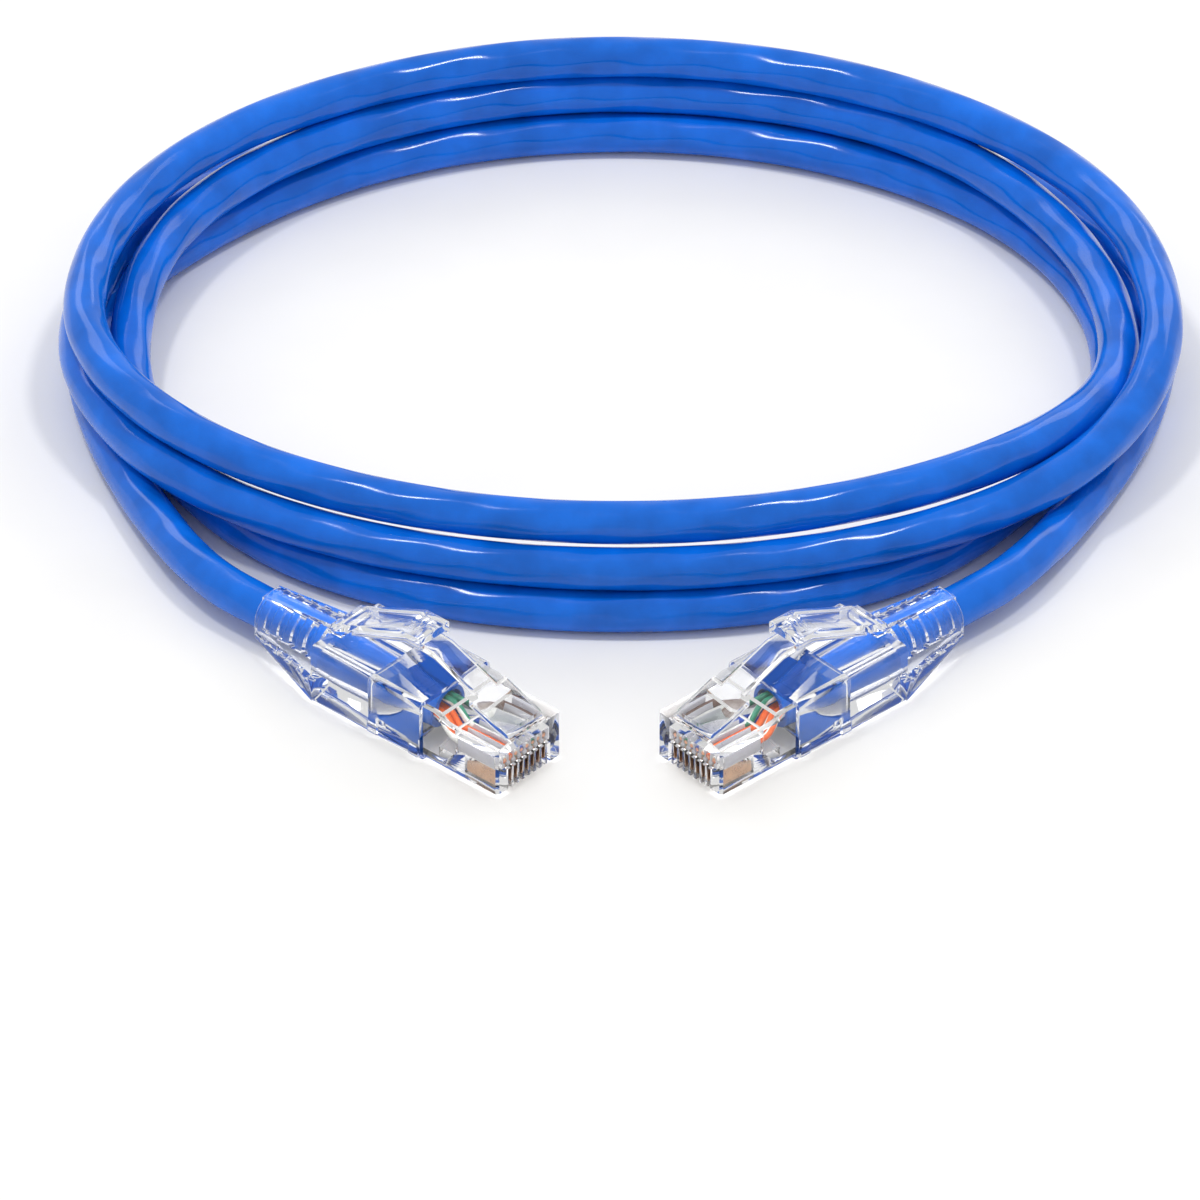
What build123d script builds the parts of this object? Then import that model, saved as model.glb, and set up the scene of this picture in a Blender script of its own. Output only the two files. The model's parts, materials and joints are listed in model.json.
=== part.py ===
from build123d import *
import os
from math import cos, pi, radians, tan

# Ethernet patch cable, 8P8C plug on each end, laid down as a flat oval coil. Millimetres.
# +Z is up. The origin is on the surface the cable lies on, midway between its two plug
# assemblies. The plug noses point towards -Y and inwards, and the coil lies behind, at +Y.
# The left-hand plug is modelled, and the right-hand one is its mirror image about X = 0.
# The coil's middle is a little off to the right, so each plug has its own leg.

# ---- Cable -------------------------------------------------------------------------------
CABLE_D = 5.5             # jacket outside diameter
JACKET_WALL = 0.6
WIRE_D = 0.9              # insulation outside diameter
CORE_D = 0.5              # stranded copper core, taken as round
FIT = 0.02                # clearance all round a piece that sits in another

# ---- Plug: its own axes are x across, y back from the nose face, z up from its underside --
PLUG_W = 11.68
PLUG_L = 21.5
NOSE_H = 6.57
REAR_H = 7.5
NOSE_L = 8.0              # length of the low nose
RAMP_END = 10.5           # where the top has climbed to the rear height
PIN_COUNT = 8
PIN_PITCH = 1.02
SLOT_W = 0.6
SLOT_DEPTH = 6.4
SLOT_TOP = 2.9
WIRE_Z = 3.75             # height of the row of wires in the nose
WIRE_TIP = 1.6            # how far the cut wire ends stop behind the nose face
CABLE_Z = 3.75            # height of the cable's centre line in the plug
JACKET_TIP = 13.3         # where the stripped jacket ends
CAVITY_W = 8.8
CAVITY_FLOOR = 0.62
CAVITY_TOP = 6.55

# ---- Wire guide, strain-relief bar and contacts -----------------------------------------
GUIDE_W = 8.6
NOSE_CHAMFER = 0.35
CHAMBER_Z = (2.0, 5.6)      # space in which the wires fan out
GUIDE_FRONT = 1.3
GUIDE_BACK = 7.4
GUIDE_TOP = 4.7
BAR_W = 7.2
BAR_FRONT = 14.5
BAR_BACK = 17.3
BLADE_T = 0.36
BLADE_FRONT = 0.5
BLADE_BACK = 6.2
BLADE_Z = 0.35
TOOTH_TOP = WIRE_Z + 0.08

# ---- Latch ------------------------------------------------------------------------------
LATCH_HINGE = (1.0, 7.12)   # y and z of the axis that it bends about
LATCH_T = 1.0
LATCH_SLOPE = 21.0          # rise of the free latch, degrees
LATCH_BEND_Y = 14.3         # where the lever levels out
LATCH_TAIL_Y = 16.8
LEVER_W = 3.4
SHOULDER_W = 6.6
SHOULDER_END = 7.0

# ---- Boot and hood ----------------------------------------------------------------------
BOOT_WALL = 0.65
BOOT_FLOOR = 0.6            # wall under the plug, which lifts the plug this far
BOOT_FRONT = 12.5
BOOT_BLOCK_END = 31.0       # back of the box-shaped sleeve
BOOT_END = 44.0             # back of the ribbed neck
BOOT_TOP = 8.15
NECK_D_FRONT = 6.9
NECK_D_BACK = 6.2
RIB_COUNT = 5
RIB_FIRST = 33.2
RIB_PITCH = 2.35
RIB_T = 1.15
RIB_D_FRONT = 8.4
RIB_D_BACK = 7.0
CATCH_YS = (13.4, 20.4)     # small bumps low on the sleeve's sides
CATCH_L = 1.6
CATCH_OUT = 0.3
CATCH_Z = (0.1, 1.5)
SPINE_W = 3.2               # rib along the top of the neck, under the hood's root
SPINE_BACK_Z = 6.95
WEB_BACK_HALF = 3.1         # half width of the webs beside the neck, at its back
WEB_BACK_Z = 1.5            # underside of the webs, at the back and at the block
WEB_FRONT_Z = -0.3
HOOD_HINGE = (30.5, 9.2)
HOOD_ROOT_R = 0.6
HOOD_W = 5.4
HOOD_FRONT_Y = 15.7
HOOD_FRONT_Z = 13.3         # underside at the front edge
HOOD_KNEE_Y = 18.5          # the underside is level in front of this
HOOD_T = 1.1
FLANGE_T = 0.5              # side flanges of the hood
GRIP_YS = (17.4, 18.3)      # grooves across the hood's pressing face
GRIP_L = 3.2
GRIP_W = 0.45
GRIP_DEPTH = 0.3

# ---- Where the left plug lies -----------------------------------------------------------
NOSE_X = -9.9               # centre of the nose face
NOSE_Y = -13.79
TURN = 48.1                 # the plug's axes are turned this far about Z

# ---- Coil: an egg made of two half ellipses that share their widest line -----------------
COIL_X = 1.65               # X of the coil's middle
COIL_Y = 72.3               # Y of the widest line
COIL_A = 70.2               # half width of the reference turn
COIL_BACK = 61.2            # depth behind the widest line
COIL_FRONT = 48.0           # depth in front of it
COIL_OUT = (4.05, 5.15, 8.95)   # how far the turns reach outside it: side, back, front
COIL_IN = (8.05, 5.85, 2.25)    # and inside it
COIL_H = 2.95 * CABLE_D
COIL_ROUND = 4.6

# Routes of the legs' centre lines, from the boot to the coil: x, y, z.
# The first two points lie on the line of the plug, straight out of the boot.
LEG_ROUTE_LEFT = [
    (-42.65, 15.594, 4.35),
    (-51.581, 23.608, 4.35),
    (-59.95, 41.2, 3.0),
    (-66.75, 60.0, 2.75),
    (-69.55, 78.0, 2.75),
]
LEG_ROUTE_RIGHT = [
    (42.65, 15.594, 4.35),
    (51.581, 23.608, 4.35),
    (61.35, 41.2, 3.0),
    (69.55, 60.0, 2.75),
    (72.85, 78.0, 2.75),
]
ARC_SHARE = 0.45            # share of the shorter run that an arc takes up


def box(x0, x1, y0, y1, z0, z1):
    """Block between two corners."""
    size = Box(x1 - x0, y1 - y0, z1 - z0)
    return Pos((x0 + x1) / 2, (y0 + y1) / 2, (z0 + z1) / 2) * size


def side_profile(points, width):
    """Closed outline of (y, z) points, given a width centred on x = 0."""
    outline = Polyline([(0, y, z) for y, z in points], close=True)
    return extrude(make_face(outline), amount=width / 2, dir=(1, 0, 0), both=True)


def rod(radius, y0, y1, x=0.0, z=CABLE_Z):
    """Round bar along y."""
    return Pos(x, (y0 + y1) / 2, z) * Rot(90, 0, 0) * Cylinder(radius, y1 - y0)


def cross_bar(radius, length, y, z):
    """Round bar along x."""
    return Pos(0, y, z) * Rot(0, 90, 0) * Cylinder(radius, length)


def pin_x(pin):
    """Sideways place of a pin, counted from 0 on the orange side."""
    return (pin - (PIN_COUNT - 1) / 2) * PIN_PITCH


# ---- Plug housing -------------------------------------------------------------------------
def plug_housing():
    """Clear shell: comb of slots in the nose, wire chamber, cable cavity and bar window."""
    outline = [(0, 0), (PLUG_L, 0), (PLUG_L, REAR_H), (RAMP_END, REAR_H), (NOSE_L, NOSE_H), (0, NOSE_H)]
    body = side_profile(outline, PLUG_W)
    body = chamfer(body.edges().filter_by(Axis.Z).sort_by(Axis.Y)[:2], NOSE_CHAMFER)
    lip_back = LATCH_HINGE[0] - LATCH_T / 2 - 0.08
    body += box(-SHOULDER_W / 2, SHOULDER_W / 2, 0, lip_back, NOSE_H - 0.2, NOSE_H + 0.45)
    half = CAVITY_W / 2
    body -= box(-half, half, RAMP_END, PLUG_L + 1, CAVITY_FLOOR, CAVITY_TOP)
    body -= box(-half, half, GUIDE_BACK + 0.4, RAMP_END, *CHAMBER_Z)
    body -= box(-GUIDE_W / 2 - FIT, GUIDE_W / 2 + FIT, GUIDE_FRONT - FIT, GUIDE_BACK + 0.4,
                SLOT_TOP - FIT, GUIDE_TOP + FIT)
    for pin in range(PIN_COUNT):
        x = pin_x(pin)
        body -= box(x - SLOT_W / 2, x + SLOT_W / 2, -1, SLOT_DEPTH, -1, SLOT_TOP)
    body -= box(-BAR_W / 2 - FIT, BAR_W / 2 + FIT, BAR_FRONT - FIT, BAR_BACK + FIT, -1, CAVITY_FLOOR)
    return body


def strain_relief_bar():
    """Wedge pressed up through the underside against the jacket."""
    top = CABLE_Z - CABLE_D / 2 - FIT
    return side_profile([(BAR_FRONT, 0), (BAR_BACK, 0), (BAR_BACK, top - 0.2), (BAR_FRONT + 0.6, top),
                         (BAR_FRONT, top)], BAR_W)


def wire_guide():
    """Insert with an open channel for each wire, slotted below for the blades."""
    body = box(-GUIDE_W / 2, GUIDE_W / 2, GUIDE_FRONT, GUIDE_BACK, SLOT_TOP, GUIDE_TOP)
    half = WIRE_D / 2 + FIT
    for pin in range(PIN_COUNT):
        x = pin_x(pin)
        body -= rod(half, GUIDE_FRONT - 1, GUIDE_BACK + 1, x, WIRE_Z)
        body -= box(x - half, x + half, GUIDE_FRONT - 1, GUIDE_BACK + 1, WIRE_Z, GUIDE_TOP + 1)
        blade = BLADE_T / 2 + FIT
        body -= box(x - blade, x + blade, GUIDE_FRONT - 1, BLADE_BACK + 0.2, SLOT_TOP - 1, WIRE_Z)
    return body


def contact(pin):
    """Gold-plated blade with two teeth that pierce the wire above it."""
    shoulder = WIRE_Z - WIRE_D / 2 - 0.05
    outline = [(BLADE_FRONT, BLADE_Z + 0.5), (BLADE_FRONT + 0.5, BLADE_Z), (BLADE_BACK, BLADE_Z),
               (BLADE_BACK, shoulder), (5.4, shoulder), (5.15, TOOTH_TOP), (4.65, shoulder),
               (3.2, shoulder), (2.95, TOOTH_TOP), (2.45, shoulder), (1.6, shoulder),
               (1.5, SLOT_TOP - 0.1), (BLADE_FRONT, SLOT_TOP - 0.1)]
    return Pos(pin_x(pin), 0, 0) * side_profile(outline, BLADE_T)


# ---- Wires --------------------------------------------------------------------------------
# The wires in pin order, with the place of each in the cable, sideways and up from the
# centre line, and the two distances behind the nose between which it fans out to its pin.
OUTER_FAN = (12.9, 9.0)
INNER_FAN = (12.2, 8.2)
WIRES = [
    ("white_orange", -1.69, 0.0, OUTER_FAN),
    ("orange", -0.75, 0.0, OUTER_FAN),
    ("white_green", -0.48, 1.25, INNER_FAN),
    ("blue", -0.48, -1.25, INNER_FAN),
    ("white_blue", 0.48, -1.25, INNER_FAN),
    ("green", 0.48, 1.25, INNER_FAN),
    ("white_brown", 0.75, 0.0, OUTER_FAN),
    ("brown", 1.69, 0.0, OUTER_FAN),
]
WIRE_BACK = 20.0          # the wires are modelled to here, inside the jacket
WIRE_BEND = 1.2           # radius of a wire's bends


def wire_line(pin):
    """Centre line of one wire: along the jacket, out of its end and into the nose."""
    _, aside, above, (fan_start, fan_end) = WIRES[pin]
    z = CABLE_Z + above
    points = [(aside, WIRE_BACK, z), (aside, fan_start, z), (pin_x(pin), fan_end, WIRE_Z),
              (pin_x(pin), WIRE_TIP, WIRE_Z)]
    return FilletPolyline(*points, radius=WIRE_BEND)


def along(line, radius):
    """Round bar along a centre line."""
    start = Plane(origin=line @ 0, z_dir=line % 0)
    return sweep(start * Circle(radius), path=line)


def wire_pieces():
    """Insulation of each wire, and the cores, pierced where the blades' teeth stand."""
    pieces = {}
    cores = []
    for pin in range(PIN_COUNT):
        line = wire_line(pin)
        core_space = along(line, CORE_D / 2 + FIT)
        blade = contact(pin)
        pieces["wire_" + WIRES[pin][0]] = along(line, WIRE_D / 2) - core_space - blade
        cores.append(along(line, CORE_D / 2) - blade)
    pieces["wire_cores"] = Compound([solid for core in cores for solid in core.solids()])
    return pieces


# ---- Latch, boot and hood -----------------------------------------------------------------
def latch():
    """Spring lever: round root, wide shoulders, then a narrower lever with a level tail."""
    root_y, root_z = LATCH_HINGE
    rise = tan(radians(LATCH_SLOPE))
    up = LATCH_T / 2 / cos(radians(LATCH_SLOPE))
    bend_z = root_z + rise * (LATCH_BEND_Y - root_y)
    tail_z = bend_z + 0.2
    shoulder_z = root_z + rise * (SHOULDER_END - root_y)
    lever = side_profile([(root_y, root_z - up), (LATCH_BEND_Y, bend_z - up), (LATCH_TAIL_Y, tail_z - up),
                          (LATCH_TAIL_Y, tail_z + up), (LATCH_BEND_Y, bend_z + up), (root_y, root_z + up)],
                         LEVER_W)
    shoulders = side_profile([(root_y, root_z - up), (SHOULDER_END, shoulder_z - up),
                              (SHOULDER_END, shoulder_z + up), (root_y, root_z + up)], SHOULDER_W)
    return lever + shoulders + cross_bar(LATCH_T / 2, SHOULDER_W, root_y, root_z)


def boot():
    """Sleeve over the back of the plug, solid block round the cable, and a ribbed neck."""
    half = PLUG_W / 2 + BOOT_WALL
    body = box(-half, half, BOOT_FRONT, BOOT_BLOCK_END, -BOOT_FLOOR, BOOT_TOP)
    body = fillet(body.edges().filter_by(Axis.Y), 0.9)
    neck = Pos(0, (BOOT_BLOCK_END + BOOT_END) / 2, CABLE_Z) * Rot(-90, 0, 0) * Cone(
        NECK_D_FRONT / 2, NECK_D_BACK / 2, BOOT_END - BOOT_BLOCK_END)
    body += neck
    for rib in range(RIB_COUNT):
        share = rib / (RIB_COUNT - 1)
        radius = (RIB_D_FRONT + (RIB_D_BACK - RIB_D_FRONT) * share) / 2
        y = RIB_FIRST + rib * RIB_PITCH
        body += rod(radius, y - RIB_T / 2, y + RIB_T / 2)
    plan = Polyline([(-half, BOOT_BLOCK_END), (-WEB_BACK_HALF, BOOT_END), (WEB_BACK_HALF, BOOT_END),
                     (half, BOOT_BLOCK_END)], close=True)
    webs = side_profile([(BOOT_BLOCK_END, WEB_FRONT_Z), (BOOT_END, WEB_BACK_Z), (BOOT_END, CABLE_Z),
                         (BOOT_BLOCK_END, CABLE_Z)], 2 * half)
    body += webs & Pos(0, 0, -1) * extrude(make_face(plan), amount=BOOT_TOP, dir=(0, 0, 1))
    root_y, root_z = HOOD_HINGE
    spine_front_z = root_z - HOOD_ROOT_R - 0.05
    body += side_profile([(BOOT_BLOCK_END - 1, CABLE_Z), (BOOT_END, CABLE_Z), (BOOT_END, SPINE_BACK_Z),
                          (BOOT_BLOCK_END, spine_front_z), (BOOT_BLOCK_END - 1, spine_front_z)], SPINE_W)
    body += box(-HOOD_W / 2, HOOD_W / 2, root_y - 1.2, BOOT_BLOCK_END, BOOT_TOP - 0.3,
                root_z - HOOD_ROOT_R - 0.05)
    for y in CATCH_YS:
        for x in (-half, half):
            body += box(x - CATCH_OUT, x + CATCH_OUT, y - CATCH_L / 2, y + CATCH_L / 2, *CATCH_Z)
    body -= box(-PLUG_W / 2 - FIT, PLUG_W / 2 + FIT, BOOT_FRONT - 1, PLUG_L + FIT, -FIT, REAR_H + FIT)
    body -= rod(CABLE_D / 2 + FIT, PLUG_L - 1, BOOT_END + 1)
    return body


def hood():
    """Tongue from the back of the boot to over the latch's tail, with side flanges and a grip."""
    root_y, root_z = HOOD_HINGE
    front, knee, bottom = HOOD_FRONT_Y, HOOD_KNEE_Y, HOOD_FRONT_Z
    top = bottom + HOOD_T
    body = side_profile([(front, bottom), (knee, bottom), (root_y, root_z - HOOD_ROOT_R),
                         (root_y, root_z + HOOD_ROOT_R), (knee + 1.0, top), (front, top)], HOOD_W)
    body += cross_bar(HOOD_ROOT_R, HOOD_W, root_y, root_z)
    for x in (-HOOD_W / 2, HOOD_W / 2 - FLANGE_T):
        flange = side_profile([(front, bottom - 0.6), (knee, bottom - 0.6), (root_y - 3, root_z + 0.2),
                               (root_y - 3, root_z + 0.9), (knee, bottom + 0.2), (front, bottom + 0.2)], FLANGE_T)
        body += Pos(x + FLANGE_T / 2, 0, 0) * flange
    for y in GRIP_YS:
        body -= box(-GRIP_L / 2, GRIP_L / 2, y, y + GRIP_W, top - GRIP_DEPTH, top + 1)
    return body


def jacket_end():
    """The stripped end of the jacket, from inside the housing to the back of the boot."""
    bore = CABLE_D / 2 - JACKET_WALL
    return rod(CABLE_D / 2, JACKET_TIP, BOOT_END) - rod(bore, JACKET_TIP - 1, BOOT_END + 1)


# ---- Cable legs and coil ------------------------------------------------------------------
def leg_line(route):
    """Straight runs of the route joined by tangent arcs, each as large as its runs allow."""
    points = [Vector(*point) for point in route]
    radii = []
    for before, corner, after in zip(points, points[1:], points[2:]):
        run_in = corner - before
        run_out = after - corner
        half_turn = radians(run_in.get_angle(run_out)) / 2
        radii.append(ARC_SHARE * min(run_in.length, run_out.length) / tan(half_turn))
    print("leg arc radii:", [round(radius, 1) for radius in radii])
    return FilletPolyline(*points, radius=radii)


def cable_leg(route):
    """The cable from the back of the boot into the side of the coil."""
    line = leg_line(route)
    leg = along(line, CABLE_D / 2)
    print(f"leg length {line.length:.1f}, volume over section times length "
          f"{leg.volume / (pi * CABLE_D ** 2 / 4 * line.length):.4f}")
    return leg


def egg(side, back, front, height):
    """Solid egg-shaped disc: two half ellipses that share their widest line."""
    rear = EllipticalCenterArc((COIL_X, COIL_Y), side, back, start_angle=0, arc_size=180)
    near = EllipticalCenterArc((COIL_X, COIL_Y), side, front, start_angle=180, arc_size=180)
    return extrude(make_face([rear, near]), amount=height)


def cable_coil():
    """The closed outer shape of the coiled turns, which lie beside and on each other."""
    outer = egg(COIL_A + COIL_OUT[0], COIL_BACK + COIL_OUT[1], COIL_FRONT + COIL_OUT[2], COIL_H)
    inner = egg(COIL_A - COIL_IN[0], COIL_BACK - COIL_IN[1], COIL_FRONT - COIL_IN[2], COIL_H)
    ring = outer - inner
    rims = [edge for edge in ring.edges() if abs(edge.center().Z - COIL_H) < 0.01]
    return fillet(rims, COIL_ROUND)


# ---- Both ends, and writing the pieces out ------------------------------------------------
def end_pieces():
    """Every piece of the left end, in the plug's own axes."""
    pieces = {
        "plug_housing": plug_housing(),
        "strain_relief_bar": strain_relief_bar(),
        "wire_guide": wire_guide(),
        "latch": latch(),
        "boot": boot(),
        "hood": hood(),
        "jacket_end": jacket_end(),
    }
    for pin in range(PIN_COUNT):
        pieces[f"contact_{pin + 1}"] = contact(pin)
    pieces.update(wire_pieces())
    return pieces


def main():
    place = Pos(NOSE_X, NOSE_Y, BOOT_FLOOR) * Rot(0, 0, TURN)
    nodes = {"cable_coil": cable_coil()}
    nodes["cable_leg_left"] = cable_leg(LEG_ROUTE_LEFT)
    nodes["cable_leg_right"] = cable_leg(LEG_ROUTE_RIGHT)
    for name, piece in end_pieces().items():
        left = place * piece
        nodes[name + "_left"] = left
        nodes[name + "_right"] = mirror(left, about=Plane.YZ)
    os.makedirs("parts", exist_ok=True)
    for name, piece in nodes.items():
        export_step(piece, f"parts/{name}.step")
    ends = Compound([solid for name, piece in nodes.items() if "cable" not in name for solid in piece.solids()])
    room = ends.bounding_box()
    print("the two ends reach from", room.min, "to", room.max)
    for name, (y, z) in (("latch hinge", LATCH_HINGE), ("hood hinge", HOOD_HINGE),
                         ("boot exit", (BOOT_END, CABLE_Z))):
        print(f"left {name}", (place * Pos(0, y, z)).position)

main()
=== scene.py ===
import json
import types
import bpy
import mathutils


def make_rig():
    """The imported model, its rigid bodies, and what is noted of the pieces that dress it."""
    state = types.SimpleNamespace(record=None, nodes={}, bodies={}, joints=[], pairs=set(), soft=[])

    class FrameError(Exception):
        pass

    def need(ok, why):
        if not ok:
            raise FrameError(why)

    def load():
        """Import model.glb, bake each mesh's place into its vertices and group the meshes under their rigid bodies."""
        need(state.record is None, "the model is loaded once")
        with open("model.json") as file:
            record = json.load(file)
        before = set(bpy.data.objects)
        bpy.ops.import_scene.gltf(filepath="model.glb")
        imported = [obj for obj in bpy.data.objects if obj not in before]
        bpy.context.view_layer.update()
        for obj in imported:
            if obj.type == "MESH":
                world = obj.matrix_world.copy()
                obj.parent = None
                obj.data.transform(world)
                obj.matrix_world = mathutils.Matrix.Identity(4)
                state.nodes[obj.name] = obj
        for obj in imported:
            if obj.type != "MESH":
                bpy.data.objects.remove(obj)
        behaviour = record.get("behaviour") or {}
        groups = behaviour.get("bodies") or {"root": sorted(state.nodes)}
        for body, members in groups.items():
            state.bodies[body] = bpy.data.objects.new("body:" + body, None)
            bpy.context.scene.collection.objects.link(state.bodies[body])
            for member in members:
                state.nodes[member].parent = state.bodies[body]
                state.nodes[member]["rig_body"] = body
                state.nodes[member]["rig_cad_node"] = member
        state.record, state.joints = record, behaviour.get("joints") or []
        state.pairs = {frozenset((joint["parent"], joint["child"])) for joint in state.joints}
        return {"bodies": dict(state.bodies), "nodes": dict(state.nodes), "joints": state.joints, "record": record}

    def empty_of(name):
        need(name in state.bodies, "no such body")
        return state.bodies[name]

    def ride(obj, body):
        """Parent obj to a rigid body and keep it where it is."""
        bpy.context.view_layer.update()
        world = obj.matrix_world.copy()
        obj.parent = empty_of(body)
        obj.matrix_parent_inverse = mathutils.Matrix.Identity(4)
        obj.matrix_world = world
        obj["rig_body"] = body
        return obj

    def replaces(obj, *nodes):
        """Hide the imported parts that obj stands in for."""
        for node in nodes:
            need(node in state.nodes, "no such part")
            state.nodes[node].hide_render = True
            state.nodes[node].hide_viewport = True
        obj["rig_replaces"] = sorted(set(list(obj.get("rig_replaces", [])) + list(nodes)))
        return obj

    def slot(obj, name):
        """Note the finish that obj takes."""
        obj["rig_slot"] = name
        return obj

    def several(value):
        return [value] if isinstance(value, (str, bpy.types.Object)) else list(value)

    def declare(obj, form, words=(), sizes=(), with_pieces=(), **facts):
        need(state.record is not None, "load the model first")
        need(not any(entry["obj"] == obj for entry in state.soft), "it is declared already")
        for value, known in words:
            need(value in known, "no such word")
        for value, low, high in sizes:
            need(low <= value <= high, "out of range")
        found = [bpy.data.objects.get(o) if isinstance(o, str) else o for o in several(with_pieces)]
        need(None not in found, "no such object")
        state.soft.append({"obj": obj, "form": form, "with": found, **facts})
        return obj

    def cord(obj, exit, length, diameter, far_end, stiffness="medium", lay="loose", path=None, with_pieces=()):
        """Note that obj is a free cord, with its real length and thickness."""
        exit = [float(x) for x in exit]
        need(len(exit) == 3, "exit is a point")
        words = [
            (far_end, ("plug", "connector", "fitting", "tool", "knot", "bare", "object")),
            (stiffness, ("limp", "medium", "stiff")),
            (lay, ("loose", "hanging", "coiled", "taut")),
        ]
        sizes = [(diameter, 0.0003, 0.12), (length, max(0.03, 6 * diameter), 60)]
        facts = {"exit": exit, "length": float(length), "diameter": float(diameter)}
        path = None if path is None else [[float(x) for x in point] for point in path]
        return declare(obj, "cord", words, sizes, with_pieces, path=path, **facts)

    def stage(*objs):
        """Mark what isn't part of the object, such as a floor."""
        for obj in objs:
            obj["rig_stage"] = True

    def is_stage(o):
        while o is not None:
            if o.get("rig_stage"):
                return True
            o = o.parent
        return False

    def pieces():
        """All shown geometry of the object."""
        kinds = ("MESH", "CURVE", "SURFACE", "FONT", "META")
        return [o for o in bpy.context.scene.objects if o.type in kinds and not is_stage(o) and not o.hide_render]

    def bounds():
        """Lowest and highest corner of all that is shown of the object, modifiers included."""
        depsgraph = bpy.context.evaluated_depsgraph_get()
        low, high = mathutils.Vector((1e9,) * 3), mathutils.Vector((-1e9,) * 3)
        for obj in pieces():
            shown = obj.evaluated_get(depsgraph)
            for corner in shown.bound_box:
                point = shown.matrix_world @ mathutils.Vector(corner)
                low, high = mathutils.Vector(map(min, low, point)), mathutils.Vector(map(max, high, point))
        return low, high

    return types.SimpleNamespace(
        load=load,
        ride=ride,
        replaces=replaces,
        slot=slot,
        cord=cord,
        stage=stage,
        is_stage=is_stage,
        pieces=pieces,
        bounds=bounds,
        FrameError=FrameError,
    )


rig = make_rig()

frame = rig.load()

import json
import logging
import math
from dataclasses import dataclass, field
from enum import Enum
from typing import Callable, Optional, Sequence

import bmesh
import bpy
from mathutils import Matrix, Vector

log = logging.getLogger("patch_cable")

Point = tuple[float, float, float]
Colour = tuple[float, float, float]
Points = list[Vector]

MM = 0.001

# Cable, in metres
CABLE_D = 5.5 * MM
CABLE_R = CABLE_D / 2
JACKET_WALL = 0.6 * MM
WIRE_R = 0.45 * MM
CORE_R = 0.25 * MM

# Where the left plug lies, and its own axes: x across, y back from the nose, z up
NOSE = Vector((-9.9, -13.79, 0.6)) * MM
TURN = math.radians(48.1)
CABLE_Z = 3.75
WIRE_Z = 3.75
PIN_COUNT = 8
PIN_PITCH = 1.02
JACKET_TIP = 13.3
JACKET_LIP = 1.0
BOOT_END = 44.0
HOUSING_END = 21.5
INSIDE_PLUG = (22.0, 30.0, 38.0)    # where the cable's line is held, from the jacket's end to the boot's
WIRE_BACK = 20.0
WIRE_STRAIGHT = 0.9                 # straight run on each side of a wire's bend
INSULATION_TIP = 1.6
CORE_TIP = 1.5
LIP_ROUND = 0.06

# Sides of the tubes' sections, and the twist that shows through the jacket
CABLE_SIDES = 40
WIRE_SIDES = 24
CORE_SIDES = 16
TWIST_PITCH = 40.0 * MM
TWIST_LOBES = 4.0
TWIST_HEIGHT = 0.03 * MM
TWIST_START = 4.0                   # millimetres past the boot where the twist begins to show
TWIST_FADE = 8.0 * MM

# Rounding of moulded edges
WELD = 1e-6
FLAT_ANGLE = math.radians(0.6)
EDGE_ANGLE = math.radians(28)
SHARP_ANGLE = math.radians(50)
LATHE_SHARP_ANGLE = math.radians(40)

# Legs between the boots and the coil, the same points as the CAD routes
LEG_LEFT: list[Point] = [
    (-42.65, 15.594, 4.35),
    (-51.581, 23.608, 4.35),
    (-59.95, 41.2, 3.0),
    (-66.75, 60.0, 2.75),
    (-69.55, 78.0, 2.75),
]
LEG_RIGHT: list[Point] = [
    (42.65, 15.594, 4.35),
    (51.581, 23.608, 4.35),
    (61.35, 41.2, 3.0),
    (69.55, 60.0, 2.75),
    (72.85, 78.0, 2.75),
]

# Coil: an egg made of two half ellipses that share their widest line
COIL_X = 1.65
COIL_Y = 72.3
COIL_A = 70.2
COIL_BACK = 61.2
COIL_FRONT = 48.0
COIL_STEP = 10
SPLINE_CUT = 0.27

# Stations along the coil: angle in degrees, millimetres outside the egg, and height in
# cable diameters. The cable winds clockwise seen from above, from the left leg to the right.
FLOOR_TURN = [
    (170, 1.0, 0.5), (155, -1.5, 0.5), (146, -2.9, 0.5), (130, -3.4, 0.5),
    (90, -3.3, 0.5), (45, -3.7, 0.5), (20, -4.7, 0.5), (0, -5.75, 0.5),
    (-20, -6.05, 0.5), (-36, -4.0, 0.5), (-50, 0.6, 0.5), (-65, 5.0, 0.5),
    (-90, 6.2, 0.5), (-115, 5.0, 0.5), (-130, 2.0, 0.5), (-144, -2.0, 0.5),
    (-160, -5.0, 0.68), (-180, -5.8, 1.1),
]
SECOND_TURN = [
    (-197, -4.8, 1.45), (-214, -3.5, 1.52), (-230, -2.9, 1.52), (-250, -1.9, 1.48),
    (-270, -1.3, 1.44), (-295, -1.5, 1.46), (-310, -2.4, 1.49), (-335, -4.8, 1.5),
    (-360, -5.2, 1.52), (-375, -4.3, 1.62), (-390, -2.8, 1.9), (-400, -1.8, 2.08),
    (-412, -0.6, 2.22),
]
TOP_TURN = [
    (-430, 0.6, 2.3), (-450, 0.9, 2.3), (-480, 0.6, 2.33), (-510, 0.0, 2.42),
    (-540, 0.0, 2.5), (-570, -0.2, 2.5), (-595, -0.7, 2.44), (-630, -0.7, 2.41),
    (-665, -0.7, 2.41), (-700, -0.1, 2.42), (-720, 0.3, 2.35), (-735, 1.4, 2.1),
    (-750, 2.8, 1.8), (-760, 3.6, 1.65), (-772, 4.2, 1.55),
]
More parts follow.
